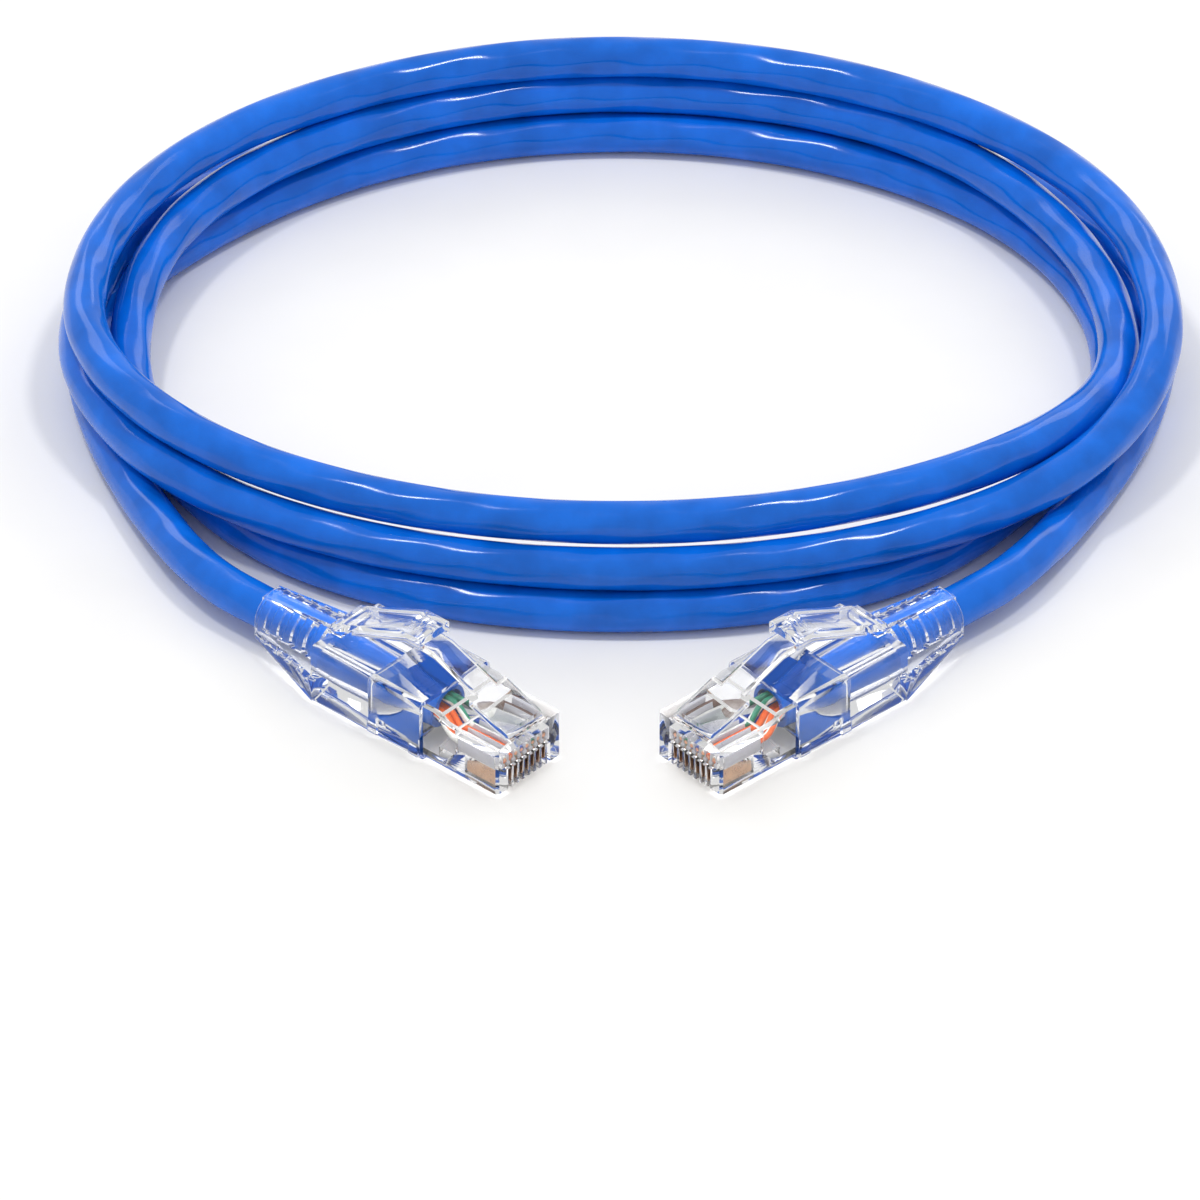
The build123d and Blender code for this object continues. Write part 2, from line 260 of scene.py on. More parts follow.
LAST_TURN = [
    (-790, 4.4, 1.47), (-810, 4.5, 1.46), (-835, 4.0, 1.46), (-850, 3.4, 1.48),
    (-864, 2.4, 1.5), (-880, 1.2, 1.52), (-900, 0.8, 1.52), (-914, 1.0, 1.48),
    (-925, 2.5, 1.25), (-935, 3.4, 0.85), (-945, 3.9, 0.55), (-960, 4.2, 0.5),
    (-975, 3.3, 0.5), (-990, 2.3, 0.5), (-1005, 3.0, 0.5), (-1035, 3.5, 0.5),
    (-1055, 2.8, 0.5), (-1070, 1.0, 0.5),
]
STATIONS = FLOOR_TURN + SECOND_TURN + TOP_TURN + LAST_TURN


class Side(Enum):
    """The two ends of the cable."""

    LEFT = "left"
    RIGHT = "right"


class Finish(Enum):
    """Names of the materials."""

    JACKET = "Blue Jacket"
    HOUSING = "Clear Polycarbonate"
    BOOT = "Clear Soft Moulding"
    GUIDE = "Frosted Moulding"
    GOLD = "Gold Plating"
    COPPER = "Bare Copper"
    FLOOR = "Pale Floor"


# --------------------------------------------------------------------------------------
# Node helpers
# --------------------------------------------------------------------------------------
class Nodes:
    """Adds and joins nodes in one node tree."""

    def __init__(self, tree: bpy.types.NodeTree) -> None:
        """Args:
            tree: the tree to build in.
        """
        self.tree = tree

    def add(self, kind: str, inputs: Optional[dict] = None, **settings: object) -> bpy.types.Node:
        """Adds a node.

        Args:
            kind: the node's type name.
            inputs: values or sockets by input name or number.
            settings: properties of the node.

        Returns:
            The new node.
        """
        node = self.tree.nodes.new(kind)
        for name, value in settings.items():
            setattr(node, name, value)
        for name, value in (inputs or {}).items():
            if isinstance(value, bpy.types.NodeSocket):
                self.tree.links.new(value, node.inputs[name])
            else:
                node.inputs[name].default_value = value
        return node

    def math(self, operation: str, a: object, b: object = 0.0, c: object = 0.0) -> bpy.types.NodeSocket:
        """Adds a Math node.

        Args:
            operation: its operation.
            a: the first value or socket.
            b: the second value or socket.
            c: the third value or socket.

        Returns:
            Its output socket.
        """
        return self.add("ShaderNodeMath", {0: a, 1: b, 2: c}, operation=operation).outputs[0]

    def link(self, output: bpy.types.NodeSocket, target: bpy.types.NodeSocket) -> None:
        """Joins two sockets.

        Args:
            output: where the value comes from.
            target: where it goes.
        """
        self.tree.links.new(output, target)


def new_group(name: str, kind: str, inputs: Sequence[tuple], outputs: Sequence[tuple[str, str]]) -> tuple:
    """Makes an empty node group with its sockets.

    Args:
        name: the group's name.
        kind: the node tree's type.
        inputs: (name, socket type, default or None) of each input.
        outputs: (name, socket type) of each output.

    Returns:
        The node helper, the group's input node and its output node.
    """
    tree = bpy.data.node_groups.new(name, kind)
    for socket_name, socket_type, default in inputs:
        socket = tree.interface.new_socket(socket_name, in_out="INPUT", socket_type=socket_type)
        if default is not None:
            socket.default_value = default
    for socket_name, socket_type in outputs:
        tree.interface.new_socket(socket_name, in_out="OUTPUT", socket_type=socket_type)
    nodes = Nodes(tree)
    return nodes, nodes.add("NodeGroupInput"), nodes.add("NodeGroupOutput")


# --------------------------------------------------------------------------------------
# Shared shader groups
# --------------------------------------------------------------------------------------
def surface_group() -> bpy.types.NodeTree:
    """Group with the handling marks and grain that every finish shares.

    Returns:
        The group: Scale, Low and High in, Roughness, Mask and Height out.
    """
    found = bpy.data.node_groups.get("Handled Surface")
    if found:
        return found
    nodes, given, made = new_group(
        "Handled Surface", "ShaderNodeTree",
        [("Scale", "NodeSocketFloat", 200.0), ("Low", "NodeSocketFloat", 0.2),
         ("High", "NodeSocketFloat", 0.4)],
        [("Roughness", "NodeSocketFloat"), ("Mask", "NodeSocketFloat"), ("Height", "NodeSocketFloat")],
    )
    place = nodes.add("ShaderNodeTexCoord").outputs["Object"]
    broad = nodes.add("ShaderNodeTexNoise", {
        "Vector": place, "Scale": given.outputs["Scale"], "Detail": 4.0})
    fine_scale = nodes.math("MULTIPLY", given.outputs["Scale"], 7.0)
    fine = nodes.add("ShaderNodeTexNoise", {"Vector": place, "Scale": fine_scale, "Detail": 3.0})
    most = nodes.math("MULTIPLY", broad.outputs["Fac"], 0.6)
    both = nodes.math("MULTIPLY_ADD", fine.outputs["Fac"], 0.4, most)
    rough = nodes.add("ShaderNodeMapRange", {
        "Value": both, "From Min": 0.3, "From Max": 0.7,
        "To Min": given.outputs["Low"], "To Max": given.outputs["High"]})
    nodes.link(rough.outputs[0], made.inputs["Roughness"])
    nodes.link(broad.outputs["Fac"], made.inputs["Mask"])
    nodes.link(fine.outputs["Fac"], made.inputs["Height"])
    return nodes.tree


def helix_group() -> bpy.types.NodeTree:
    """Group that waves round a tube and along it, from the tube's own ring and along attributes.

    Returns:
        The group: Pitch, Lobes and Phase in, Wave from -1 to 1 out.
    """
    found = bpy.data.node_groups.get("Tube Helix")
    if found:
        return found
    nodes, given, made = new_group(
        "Tube Helix", "ShaderNodeTree",
        [("Pitch", "NodeSocketFloat", 0.01), ("Lobes", "NodeSocketFloat", 1.0),
         ("Phase", "NodeSocketFloat", 0.0)],
        [("Wave", "NodeSocketFloat")],
    )
    ring = nodes.add("ShaderNodeAttribute", attribute_name="ring").outputs["Vector"]
    along = nodes.add("ShaderNodeAttribute", attribute_name="along").outputs["Fac"]
    parts = nodes.add("ShaderNodeSeparateXYZ", {0: ring})
    angle = nodes.math("ARCTAN2", parts.outputs["Y"], parts.outputs["X"])
    turns = nodes.math("MULTIPLY", nodes.math("DIVIDE", along, given.outputs["Pitch"]), math.tau)
    waves = nodes.math("MULTIPLY_ADD", angle, given.outputs["Lobes"], turns)
    wave = nodes.math("SINE", nodes.math("ADD", waves, given.outputs["Phase"]))
    nodes.link(wave, made.inputs["Wave"])
    return nodes.tree


# --------------------------------------------------------------------------------------
# Finishes
# --------------------------------------------------------------------------------------
def material_nodes(name: str) -> tuple[bpy.types.Material, Nodes, bpy.types.Node, bpy.types.Node]:
    """Makes a material with a Principled shader joined to its output.

    Args:
        name: the material's name.

    Returns:
        The material, its node helper, its shader and its output node.
    """
    material = bpy.data.materials.new(name)
    material.use_nodes = True
    material.node_tree.nodes.clear()
    nodes = Nodes(material.node_tree)
    shader = nodes.add("ShaderNodeBsdfPrincipled")
    out = nodes.add("ShaderNodeOutputMaterial")
    nodes.link(shader.outputs[0], out.inputs["Surface"])
    return material, nodes, shader, out


def use_surface(nodes: Nodes, scale: float, low: float, high: float) -> bpy.types.Node:
    """Places the shared surface group in a material.

    Args:
        nodes: the material's node helper.
        scale: marks per metre.
        low: lowest roughness.
        high: highest roughness.

    Returns:
        The group node.
    """
    node = nodes.add("ShaderNodeGroup", node_tree=surface_group())
    node.inputs["Scale"].default_value = scale
    node.inputs["Low"].default_value = low
    node.inputs["High"].default_value = high
    return node


def use_helix(nodes: Nodes, pitch: float, lobes: float, phase: float = 0.0) -> bpy.types.NodeSocket:
    """Places the tube helix group in a material.

    Args:
        nodes: the material's node helper.
        pitch: metres along the tube for one turn of the phase.
        lobes: waves round the tube.
        phase: where the wave starts, in radians.

    Returns:
        The wave's socket.
    """
    node = nodes.add("ShaderNodeGroup", node_tree=helix_group())
    node.inputs["Pitch"].default_value = pitch
    node.inputs["Lobes"].default_value = lobes
    node.inputs["Phase"].default_value = phase
    return node.outputs["Wave"]


def mixed_colour(nodes: Nodes, mask: bpy.types.NodeSocket, a: Colour, b: Colour) -> bpy.types.NodeSocket:
    """Mixes two colours by a mask.

    Args:
        nodes: the material's node helper.
        mask: 0 for the first colour and 1 for the second.
        a: the first colour.
        b: the second colour.

    Returns:
        The colour socket.
    """
    ramp = nodes.add("ShaderNodeValToRGB", {"Fac": mask})
    ramp.color_ramp.elements[0].position = 0.3
    ramp.color_ramp.elements[0].color = (*a, 1.0)
    ramp.color_ramp.elements[1].position = 0.7
    ramp.color_ramp.elements[1].color = (*b, 1.0)
    return ramp.outputs["Color"]


def bump(nodes: Nodes, height: bpy.types.NodeSocket, strength: float, distance: float,
         under: Optional[bpy.types.NodeSocket] = None) -> bpy.types.NodeSocket:
    """Adds a Bump node.

    Args:
        nodes: the material's node helper.
        height: the height socket.
        strength: how much of it shows.
        distance: metres for a height of 1.
        under: a normal that this one goes on top of.

    Returns:
        The normal socket.
    """
    node = nodes.add("ShaderNodeBump", {"Height": height, "Strength": strength, "Distance": distance})
    if under is not None:
        nodes.link(under, node.inputs["Normal"])
    return node.outputs["Normal"]


@dataclass(frozen=True)
class JacketFinish:
    """Glossy blue PVC that shows the twisted pairs under it."""

    deep: Colour = (0.001, 0.110, 0.540)
    bright: Colour = (0.002, 0.160, 0.760)
    pair_pitch: float = 13.0 * MM

    def build(self) -> bpy.types.Material:
        """Returns:
            The material.
        """
        material, nodes, shader, _ = material_nodes(Finish.JACKET.value)
        marks = use_surface(nodes, 160.0, 0.10, 0.20)
        colour = mixed_colour(nodes, marks.outputs["Mask"], self.deep, self.bright)
        nodes.link(colour, shader.inputs["Base Color"])
        nodes.link(marks.outputs["Roughness"], shader.inputs["Roughness"])
        grain = bump(nodes, marks.outputs["Height"], 0.35, 0.02 * MM)
        twist = bump(nodes, use_helix(nodes, self.pair_pitch, 4.0), 1.0, 0.055 * MM, grain)
        nodes.link(twist, shader.inputs["Normal"])
        shader.inputs["Specular IOR Level"].default_value = 0.35
        return material


@dataclass(frozen=True)
class ClearFinish:
    """Clear moulded plastic. Lamps shine through it, and light lost inside it goes straight on."""

    name: Finish
    tint: Colour
    ior: float
    low: float
    high: float
    wave: float
    shade: Colour = (0.86, 0.86, 0.865)
    deepest: float = 4.5

    def build(self) -> bpy.types.Material:
        """Returns:
            The material.
        """
        material, nodes, shader, out = material_nodes(self.name.value)
        marks = use_surface(nodes, 260.0, self.low, self.high)
        shader.inputs["Base Color"].default_value = (*self.tint, 1.0)
        shader.inputs["Transmission Weight"].default_value = 1.0
        shader.inputs["IOR"].default_value = self.ior
        nodes.link(marks.outputs["Roughness"], shader.inputs["Roughness"])
        nodes.link(bump(nodes, marks.outputs["Mask"], self.wave, 0.05 * MM), shader.inputs["Normal"])
        path = nodes.add("ShaderNodeLightPath")
        straight = nodes.add("ShaderNodeBsdfTransparent", {"Color": (1.0, 1.0, 1.0, 1.0)})
        seen = nodes.add("ShaderNodeMixShader", {
            0: nodes.math("GREATER_THAN", path.outputs["Ray Depth"], self.deepest),
            1: shader.outputs[0], 2: straight.outputs[0]})
        lit = nodes.add("ShaderNodeBsdfTransparent", {"Color": (*self.shade, 1.0)})
        mix = nodes.add("ShaderNodeMixShader", {
            0: path.outputs["Is Shadow Ray"], 1: seen.outputs[0], 2: lit.outputs[0]})
        nodes.link(mix.outputs[0], out.inputs["Surface"])
        return material


@dataclass(frozen=True)
class GuideFinish:
    """Frosted, slightly lilac moulding."""

    def build(self) -> bpy.types.Material:
        """Returns:
            The material.
        """
        material, nodes, shader, _ = material_nodes(Finish.GUIDE.value)
        marks = use_surface(nodes, 500.0, 0.25, 0.45)
        colour = mixed_colour(nodes, marks.outputs["Mask"], (0.88, 0.88, 0.97), (0.95, 0.95, 1.0))
        nodes.link(colour, shader.inputs["Base Color"])
        nodes.link(marks.outputs["Roughness"], shader.inputs["Roughness"])
        nodes.link(bump(nodes, marks.outputs["Height"], 0.4, 0.02 * MM), shader.inputs["Normal"])
        shader.inputs["Transmission Weight"].default_value = 0.35
        shader.inputs["IOR"].default_value = 1.5
        return material


@dataclass(frozen=True)
class MetalFinish:
    """Bare or plated metal, a little tarnished, with a fine grain."""

    name: Finish
    clean: Colour
    dull: Colour

    def build(self) -> bpy.types.Material:
        """Returns:
            The material.
        """
        material, nodes, shader, _ = material_nodes(self.name.value)
        marks = use_surface(nodes, 900.0, 0.18, 0.42)
        colour = mixed_colour(nodes, marks.outputs["Mask"], self.dull, self.clean)
        nodes.link(colour, shader.inputs["Base Color"])
        nodes.link(marks.outputs["Roughness"], shader.inputs["Roughness"])
        nodes.link(bump(nodes, marks.outputs["Height"], 0.3, 0.01 * MM), shader.inputs["Normal"])
        shader.inputs["Metallic"].default_value = 1.0
        return material


@dataclass(frozen=True)
class InsulationFinish:
    """Polyethylene insulation, plain or white with a stripe that winds slowly round it."""

    name: str
    base: Colour
    stripe: Optional[Colour] = None

    def build(self) -> bpy.types.Material:
        """Returns:
            The material.
        """
        material, nodes, shader, _ = material_nodes(f"Insulation {self.name}")
        marks = use_surface(nodes, 700.0, 0.30, 0.48)
        shade = tuple(0.82 * c for c in self.base)
        colour = mixed_colour(nodes, marks.outputs["Mask"], shade, self.base)
        if self.stripe is not None:
            wave = use_helix(nodes, 22.0 * MM, 1.0, 0.9)
            edge = nodes.add("ShaderNodeMapRange", {
                "Value": wave, "From Min": 0.50, "From Max": 0.62, "To Min": 0.0, "To Max": 1.0})
            painted = nodes.add("ShaderNodeMix", data_type="RGBA")
            nodes.link(edge.outputs[0], painted.inputs[0])
            nodes.link(colour, painted.inputs[6])
            painted.inputs[7].default_value = (*self.stripe, 1.0)
            colour = painted.outputs[2]
        nodes.link(colour, shader.inputs["Base Color"])
        nodes.link(marks.outputs["Roughness"], shader.inputs["Roughness"])
        nodes.link(bump(nodes, marks.outputs["Height"], 0.3, 0.01 * MM), shader.inputs["Normal"])
        return material


@dataclass(frozen=True)
class FloorFinish:
    """Matt, very pale paper."""

    def build(self) -> bpy.types.Material:
        """Returns:
            The material.
        """
        material, nodes, shader, _ = material_nodes(Finish.FLOOR.value)
        marks = use_surface(nodes, 40.0, 0.55, 0.70)
        colour = mixed_colour(nodes, marks.outputs["Mask"], (0.90, 0.892, 0.875), (0.93, 0.922, 0.905))
        nodes.link(colour, shader.inputs["Base Color"])
        nodes.link(marks.outputs["Roughness"], shader.inputs["Roughness"])
        shader.inputs["Specular IOR Level"].default_value = 0.2
        return material


@dataclass(frozen=True)
class WireColour:
    """One wire: its colours and where it lies in the cable, sideways and up, in millimetres."""

    name: str
    base: Colour
    stripe: Optional[Colour]
    aside: float
    above: float
    fan_start: float
    fan_end: float
    lift: float
    sway: float


WHITE = (0.88, 0.88, 0.84)
ORANGE = (0.83, 0.13, 0.012)
GREEN = (0.006, 0.20, 0.11)
BLUE = (0.012, 0.07, 0.45)
BROWN = (0.13, 0.045, 0.018)
OUTER_FAN = (12.9, 9.0)
INNER_FAN = (12.2, 8.2)
WIRES = [
    WireColour("white_orange", WHITE, ORANGE, -1.69, 0.0, *OUTER_FAN, 0.10, -0.10),
    WireColour("orange", ORANGE, None, -0.75, 0.0, *OUTER_FAN, 0.15, 0.0),
    WireColour("white_green", WHITE, GREEN, -0.48, 1.25, *INNER_FAN, 0.25, 0.0),
    WireColour("blue", BLUE, None, -0.48, -1.25, *INNER_FAN, -0.10, 0.0),
    WireColour("white_blue", WHITE, BLUE, 0.48, -1.25, *INNER_FAN, -0.10, 0.0),
    WireColour("green", GREEN, None, 0.48, 1.25, *INNER_FAN, 0.25, 0.0),
    WireColour("white_brown", WHITE, BROWN, 0.75, 0.0, *OUTER_FAN, 0.15, 0.0),
    WireColour("brown", BROWN, None, 1.69, 0.0, *OUTER_FAN, 0.10, 0.10),
]


class Palette:
    """Builds each finish once, when it is first asked for."""

    def __init__(self) -> None:
        """Starts with no finish built."""
        self.makers: dict[Finish, Callable[[], bpy.types.Material]] = {
            Finish.JACKET: JacketFinish().build,
            Finish.HOUSING: ClearFinish(Finish.HOUSING, (1.0, 1.0, 1.0), 1.40, 0.0, 0.03, 0.15).build,
            Finish.BOOT: ClearFinish(Finish.BOOT, (0.99, 0.995, 1.0), 1.36, 0.0, 0.05, 0.25).build,
            Finish.GUIDE: GuideFinish().build,
            Finish.GOLD: MetalFinish(Finish.GOLD, (0.72, 0.47, 0.30), (0.50, 0.30, 0.20)).build,
            Finish.COPPER: MetalFinish(Finish.COPPER, (0.90, 0.45, 0.28), (0.55, 0.25, 0.14)).build,
            Finish.FLOOR: FloorFinish().build,
        }
        self.made: dict[object, bpy.types.Material] = {}

    def get(self, finish: Finish) -> bpy.types.Material:
        """Args:
            finish: which finish.

        Returns:
            Its material.
        """
        if finish not in self.made:
            self.made[finish] = self.makers[finish]()
        return self.made[finish]

    def wire(self, wire: WireColour) -> bpy.types.Material:
        """Args:
            wire: the wire.

        Returns:
            The material of its insulation.
        """
        if wire.name not in self.made:
            self.made[wire.name] = InsulationFinish(wire.name, wire.base, wire.stripe).build()
        return self.made[wire.name]


# --------------------------------------------------------------------------------------
# Mesh helpers
# --------------------------------------------------------------------------------------
@dataclass(frozen=True)
class PlugFrame:
    """Turns a point in a plug's own axes, in millimetres, into the row frame."""

    side: Side

    def matrix(self) -> Matrix:
        """Returns:
            The matrix from the plug's axes to the row frame, both in metres.
        """
        place = Matrix.Translation(NOSE) @ Matrix.Rotation(TURN, 4, "Z")
        if self.side is Side.LEFT:
            return place
        return Matrix.Scale(-1, 4, (1, 0, 0)) @ place

    def point(self, x: float, y: float, z: float) -> Vector:
        """Args:
            x: across the plug.
            y: back from the nose.
            z: up from the plug's underside.

        Returns:
            The point in metres.
        """
        return self.matrix() @ (Vector((x, y, z)) * MM)

    def set_mesh(self, mesh: bpy.types.Mesh) -> None:
        """Moves a mesh made in the plug's axes, in metres, into the row frame.

        Args:
            mesh: the mesh.
        """
        mesh.transform(self.matrix())
        if self.side is Side.RIGHT:
            mesh.flip_normals()


def shown(name: str, mesh: bpy.types.Mesh) -> bpy.types.Object:
    """Links a mesh as an object at the origin.

    Args:
        name: the object's name.
        mesh: its mesh.

    Returns:
        The object.
    """
    piece = bpy.data.objects.new(name, mesh)
    bpy.context.scene.collection.objects.link(piece)
    return piece


def spline_points(points: Sequence[Vector], resolution: int) -> Points:
    """Reads the points of a quadratic NURBS spline.

    Args:
        points: its control points.
        resolution: points read for each control point.

    Returns:
        The points along it.
    """
    curve = bpy.data.curves.new("route", "CURVE")
    curve.dimensions = "3D"
    curve.resolution_u = resolution
    spline = curve.splines.new("NURBS")
    spline.points.add(len(points) - 1)
    for control, place in zip(spline.points, points):
        control.co = (*place, 1.0)
    spline.order_u = 3
    spline.use_endpoint_u = True
    route = bpy.data.objects.new("route", curve)
    bpy.context.scene.collection.objects.link(route)
    bpy.context.view_layer.update()
    graph = bpy.context.evaluated_depsgraph_get()
    line = bpy.data.meshes.new_from_object(route.evaluated_get(graph))
    found = [vertex.co.copy() for vertex in line.vertices]
    bpy.data.objects.remove(route)
    bpy.data.curves.remove(curve)
    bpy.data.meshes.remove(line)
    return found


def path_mesh(lines: Sequence[Points], swell: Callable[[float, float], float]) -> bpy.types.Mesh:
    """Makes a mesh of bare edges, with how far along its line each point is.

    Args:
        lines: the points of each line.
        swell: from metres along and the line's length, the share of the ripple that shows there.

    Returns:
        The mesh.
    """
    places, edges, along, share = [], [], [], []
    for line in lines:
        first = len(places)
        run = [0.0]
        for a, b in zip(line, line[1:]):
            run.append(run[-1] + (b - a).length)
        places += line
        along += run
        share += [swell(at, run[-1]) for at in run]
        edges += [(i, i + 1) for i in range(first, len(places) - 1)]
    mesh = bpy.data.meshes.new("path")
    mesh.from_pydata([tuple(p) for p in places], edges, [])
    mesh.attributes.new("along", "FLOAT", "POINT").data.foreach_set("value", along)
    mesh.attributes.new("swell", "FLOAT", "POINT").data.foreach_set("value", share)
    return mesh


def tube_tree() -> bpy.types.NodeTree:
    """Geometry Nodes tree that lays a round tube along bare edges.

    Returns:
        The tree: Radius, Sides, Ripple, Pitch, Lobes and Material in.
    """
    found = bpy.data.node_groups.get("Tube Along Path")
    if found:
        return found
    nodes, given, made = new_group(
        "Tube Along Path", "GeometryNodeTree",
        [("Geometry", "NodeSocketGeometry", None), ("Radius", "NodeSocketFloat", 0.001),
         ("Sides", "NodeSocketInt", 24), ("Ripple", "NodeSocketFloat", 0.0),
         ("Pitch", "NodeSocketFloat", 0.04), ("Lobes", "NodeSocketFloat", 4.0),
         ("Material", "NodeSocketMaterial", None)],
        [("Geometry", "NodeSocketGeometry")],
    )
    nodes.tree.is_modifier = True
    line = nodes.add("GeometryNodeMeshToCurve", {"Mesh": given.outputs["Geometry"]})
    circle = nodes.add("GeometryNodeCurvePrimitiveCircle", {
        "Resolution": given.outputs["Sides"], "Radius": given.outputs["Radius"]})
    unit = nodes.add("ShaderNodeVectorMath", {0: nodes.add("GeometryNodeInputPosition").outputs[0]},
                     operation="NORMALIZE")
    ring = nodes.add("GeometryNodeStoreNamedAttribute", {
        "Geometry": circle.outputs["Curve"], "Name": "ring", "Value": unit.outputs[0]},
        data_type="FLOAT_VECTOR", domain="POINT")
    tube = nodes.add("GeometryNodeCurveToMesh", {
        "Curve": line.outputs["Curve"], "Profile Curve": ring.outputs["Geometry"], "Fill Caps": True})

    def read(name: str, kind: str) -> bpy.types.NodeSocket:
        """Reads a named attribute.

        Args:
            name: the attribute's name.
            kind: its data type.

        Returns:
            Its socket.
        """
        node = nodes.add("GeometryNodeInputNamedAttribute", {"Name": name}, data_type=kind)
        return node.outputs["Attribute"]

    parts = nodes.add("ShaderNodeSeparateXYZ", {0: read("ring", "FLOAT_VECTOR")})
    angle = nodes.math("ARCTAN2", parts.outputs["Y"], parts.outputs["X"])
    share = nodes.math("DIVIDE", read("along", "FLOAT"), given.outputs["Pitch"])
    turns = nodes.math("MULTIPLY", share, math.tau)
    wave = nodes.math("SINE", nodes.math("MULTIPLY_ADD", angle, given.outputs["Lobes"], turns))
    height = nodes.math("MULTIPLY", wave, given.outputs["Ripple"])
    depth = nodes.math("MULTIPLY", height, read("swell", "FLOAT"))
    shift = nodes.add("ShaderNodeVectorMath", {
        0: nodes.add("GeometryNodeInputNormal").outputs[0], "Scale": depth}, operation="SCALE")
    moved = nodes.add("GeometryNodeSetPosition", {
        "Geometry": tube.outputs["Mesh"], "Offset": shift.outputs[0]})
    smooth = nodes.add("GeometryNodeSetShadeSmooth", {"Geometry": moved.outputs["Geometry"]})
    whole = nodes.add("GeometryNodeRealizeInstances", {"Geometry": smooth.outputs["Geometry"]})
    coated = nodes.add("GeometryNodeSetMaterial", {
        "Geometry": whole.outputs["Geometry"], "Material": given.outputs["Material"]})
    nodes.link(coated.outputs["Geometry"], made.inputs["Geometry"])
    return nodes.tree


def repeat_tree() -> bpy.types.NodeTree:
    """Geometry Nodes tree that repeats a piece along a straight row.

    Returns:
        The tree: Count, Start, Step and Material in.
    """
    found = bpy.data.node_groups.get("Repeat In A Row")
    if found:
        return found
    nodes, given, made = new_group(
        "Repeat In A Row", "GeometryNodeTree",
        [("Geometry", "NodeSocketGeometry", None), ("Count", "NodeSocketInt", 8),
         ("Start", "NodeSocketVector", None), ("Step", "NodeSocketVector", None),
         ("Material", "NodeSocketMaterial", None)],
        [("Geometry", "NodeSocketGeometry")],
    )
    nodes.tree.is_modifier = True
    row = nodes.add("GeometryNodeMeshLine", {
        "Count": given.outputs["Count"], "Start Location": given.outputs["Start"],
        "Offset": given.outputs["Step"]}, mode="OFFSET")
    copies = nodes.add("GeometryNodeInstanceOnPoints", {
        "Points": row.outputs["Mesh"], "Instance": given.outputs["Geometry"]})
    whole = nodes.add("GeometryNodeRealizeInstances", {"Geometry": copies.outputs["Instances"]})
    coated = nodes.add("GeometryNodeSetMaterial", {
        "Geometry": whole.outputs["Geometry"], "Material": given.outputs["Material"]})
    nodes.link(coated.outputs["Geometry"], made.inputs["Geometry"])
    return nodes.tree


def grown(name: str, seed_mesh: bpy.types.Mesh, tree: bpy.types.NodeTree, values: dict) -> bpy.types.Mesh:
    """Runs a Geometry Nodes tree on a mesh and keeps the plain result.

    Args:
        name: the new mesh's name.
        seed_mesh: what goes in. It is removed.
        tree: the tree.
        values: the tree's inputs by name.

    Returns:
        The result.
    """
    carrier = shown(name + "_seed", seed_mesh)
    modifier = carrier.modifiers.new("Build", "NODES")
    modifier.node_group = tree
    for item in tree.interface.items_tree:
        if item.item_type == "SOCKET" and item.in_out == "INPUT" and item.name in values:
            modifier[item.identifier] = values[item.name]
    bpy.context.view_layer.update()
    graph = bpy.context.evaluated_depsgraph_get()
    mesh = bpy.data.meshes.new_from_object(carrier.evaluated_get(graph))
    mesh.name = name
    bpy.data.objects.remove(carrier)
    bpy.data.meshes.remove(seed_mesh)
    return mesh


def tube(name: str, lines: Sequence[Points], radius: float, sides: int, material: bpy.types.Material,
         ripple: float = 0.0,
         swell: Callable[[float, float], float] = lambda at, length: 1.0) -> bpy.types.Mesh:
    """Lays a tube along lines.

    Args:
        name: the mesh's name.
        lines: the points of each line.
        radius: the tube's radius.
        sides: sides of its section.
        material: its finish.
        ripple: height of the helical ripple.
        swell: the share of the ripple that shows, as path_mesh says.

    Returns:
        The mesh.
    """
    mesh = grown(name, path_mesh(lines, swell), tube_tree(), {
        "Radius": radius, "Sides": sides, "Ripple": ripple, "Pitch": TWIST_PITCH, "Lobes": TWIST_LOBES,
        "Material": material})
    mesh.set_sharp_from_angle(angle=SHARP_ANGLE)
    return mesh


def lathe(profile: Sequence[tuple[float, float]], centre_z: float, sides: int) -> bpy.types.Mesh:
    """Turns a closed outline about the cable's line in a plug.

    Args:
        profile: (radius, y) of each corner, in millimetres.
        centre_z: height of the line, in millimetres.
        sides: sides of the section.

    Returns:
        The mesh, in the plug's own axes and in metres.
    """
    shape = bmesh.new()
    rings = []
    for radius, y in profile:
        ring = []
        for i in range(sides):
            turn = math.tau * i / sides
            corner = Vector((radius * math.cos(turn), y, centre_z + radius * math.sin(turn)))
            ring.append(shape.verts.new(corner * MM))
        rings.append(ring)
    for ring, after in zip(rings, rings[1:] + rings[:1]):
        for i in range(sides):
            j = (i + 1) % sides
            shape.faces.new((ring[i], ring[j], after[j], after[i]))
    bmesh.ops.recalc_face_normals(shape, faces=shape.faces)
    mesh = bpy.data.meshes.new("turned")
    shape.to_mesh(mesh)
    shape.free()
    for polygon in mesh.polygons:
        polygon.use_smooth = True
    mesh.set_sharp_from_angle(angle=LATHE_SHARP_ANGLE)
    return mesh


def joined(name: str, meshes: Sequence[bpy.types.Mesh], material: bpy.types.Material) -> bpy.types.Mesh:
    """Puts several meshes in one.

    Args:
        name: the new mesh's name.
        meshes: the meshes, which are removed.
        material: the finish of all of them.

    Returns:
        The mesh.
    """
    parts = [shown(f"{name}_part_{i}", mesh) for i, mesh in enumerate(meshes)]
    with bpy.context.temp_override(active_object=parts[0], selected_editable_objects=parts,
                                   selected_objects=parts):
        bpy.ops.object.join()
    mesh = parts[0].data
    bpy.data.objects.remove(parts[0])
    for spent in list(meshes):
        if spent != mesh and spent.users == 0:
            bpy.data.meshes.remove(spent)
    mesh.name = name
    mesh.materials.clear()
    mesh.materials.append(material)
    return mesh


